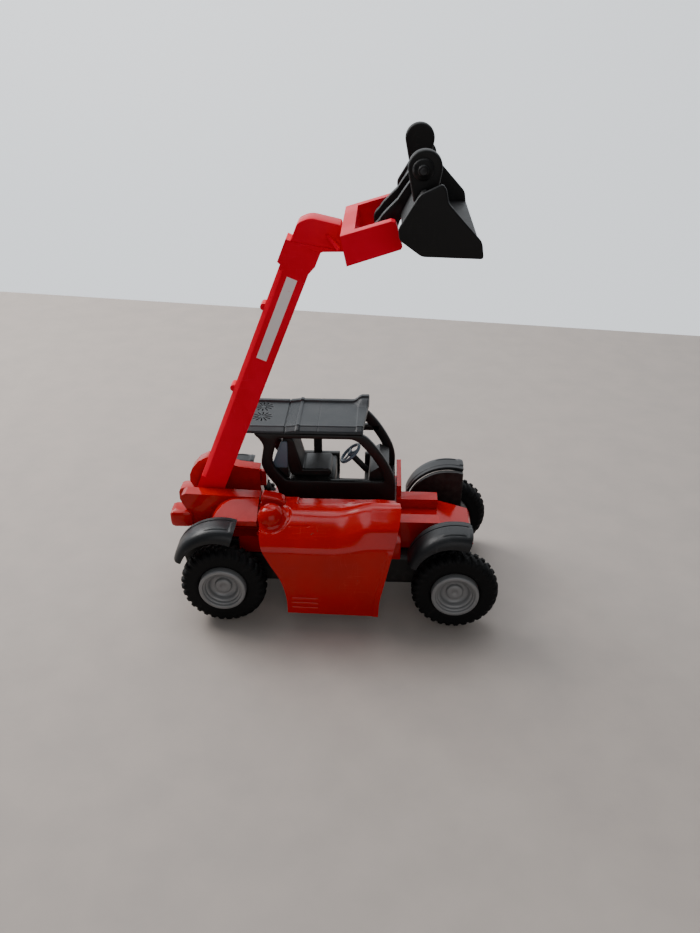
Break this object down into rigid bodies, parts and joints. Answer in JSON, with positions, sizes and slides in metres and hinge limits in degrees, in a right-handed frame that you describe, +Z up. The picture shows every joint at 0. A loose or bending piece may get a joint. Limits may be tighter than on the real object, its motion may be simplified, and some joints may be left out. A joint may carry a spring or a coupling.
{
  "type": "toy telescopic handler",
  "caption": "Die-cast toy telescopic handler: open cab, fenders, rolling wheels, lifting and extending boom, tilting bucket.",
  "frame": {"origin": "on the ground under the middle of the overall box", "axes": "+X forward, +Y to the vehicle's left (cab side), +Z up"},
  "size_m": [0.081, 0.0456, 0.1115],
  "materials": {
    "body_paint": "gloss enamel on die-cast zinc, chipped at edges",
    "boom_plastic": "semi-gloss moulded plastic",
    "black_plastic": "satin moulded plastic",
    "slate_plastic": "satin moulded plastic",
    "rim_plastic": "satin grey",
    "tyre_rubber": "soft rubber",
    "bright_steel": "plain steel pin"
  },
  "bodies": {
    "chassis": {"body_casting": "body_paint", "engine_cover": "body_paint", "chassis_base": "black_plastic", "chassis_rivet_front": "bright_steel", "chassis_rivet_rear": "bright_steel", "cab_frame": "black_plastic", "cab_roof": "slate_plastic", "cab_floor": "black_plastic", "driver_seat": "black_plastic", "steering_column": "black_plastic", "steering_wheel": "black_plastic", "fender_front_right": "slate_plastic", "fender_front_left": "slate_plastic", "fender_rear_right": "slate_plastic", "fender_rear_left": "slate_plastic", "boom_pivot_pin": "bright_steel"},
    "front_axle_set": {"front_axle": "bright_steel", "rim_front_right": "rim_plastic", "rim_front_left": "rim_plastic", "tyre_front_right": "tyre_rubber", "tyre_front_left": "tyre_rubber"},
    "rear_axle_set": {"rear_axle": "bright_steel", "rim_rear_right": "rim_plastic", "rim_rear_left": "rim_plastic", "tyre_rear_right": "tyre_rubber", "tyre_rear_left": "tyre_rubber"},
    "outer_boom": {"boom_outer": "boom_plastic"},
    "inner_boom": {"boom_inner": "boom_plastic", "tool_carrier": "boom_plastic", "bucket_pivot_pin": "bright_steel"},
    "bucket": {"bucket": "black_plastic"}
  },
  "joints": [
    {"name": "front_axle_spin", "type": "hinge", "parent": "chassis", "child": "front_axle_set", "pos_m": [0.03, 0, 0.0105], "axis": [0, 1, 0], "continuous": true},
    {"name": "rear_axle_spin", "type": "hinge", "parent": "chassis", "child": "rear_axle_set", "pos_m": [-0.026, 0, 0.0105], "axis": [0, 1, 0], "continuous": true},
    {"name": "boom_lift", "type": "hinge", "parent": "chassis", "child": "outer_boom", "pos_m": [-0.0323, 0, 0.0242], "axis": [0, -1, 0], "range_deg": [-68, 4]},
    {"name": "boom_extend", "type": "slide", "parent": "outer_boom", "child": "inner_boom", "axis": [0.3746, 0, 0.9272], "range_m": [0, 0.03]},
    {"name": "bucket_tilt", "type": "hinge", "parent": "inner_boom", "child": "bucket", "pos_m": [0.0113, 0, 0.0935], "axis": [0, 1, 0], "range_deg": [-50, 75]}
  ]
}
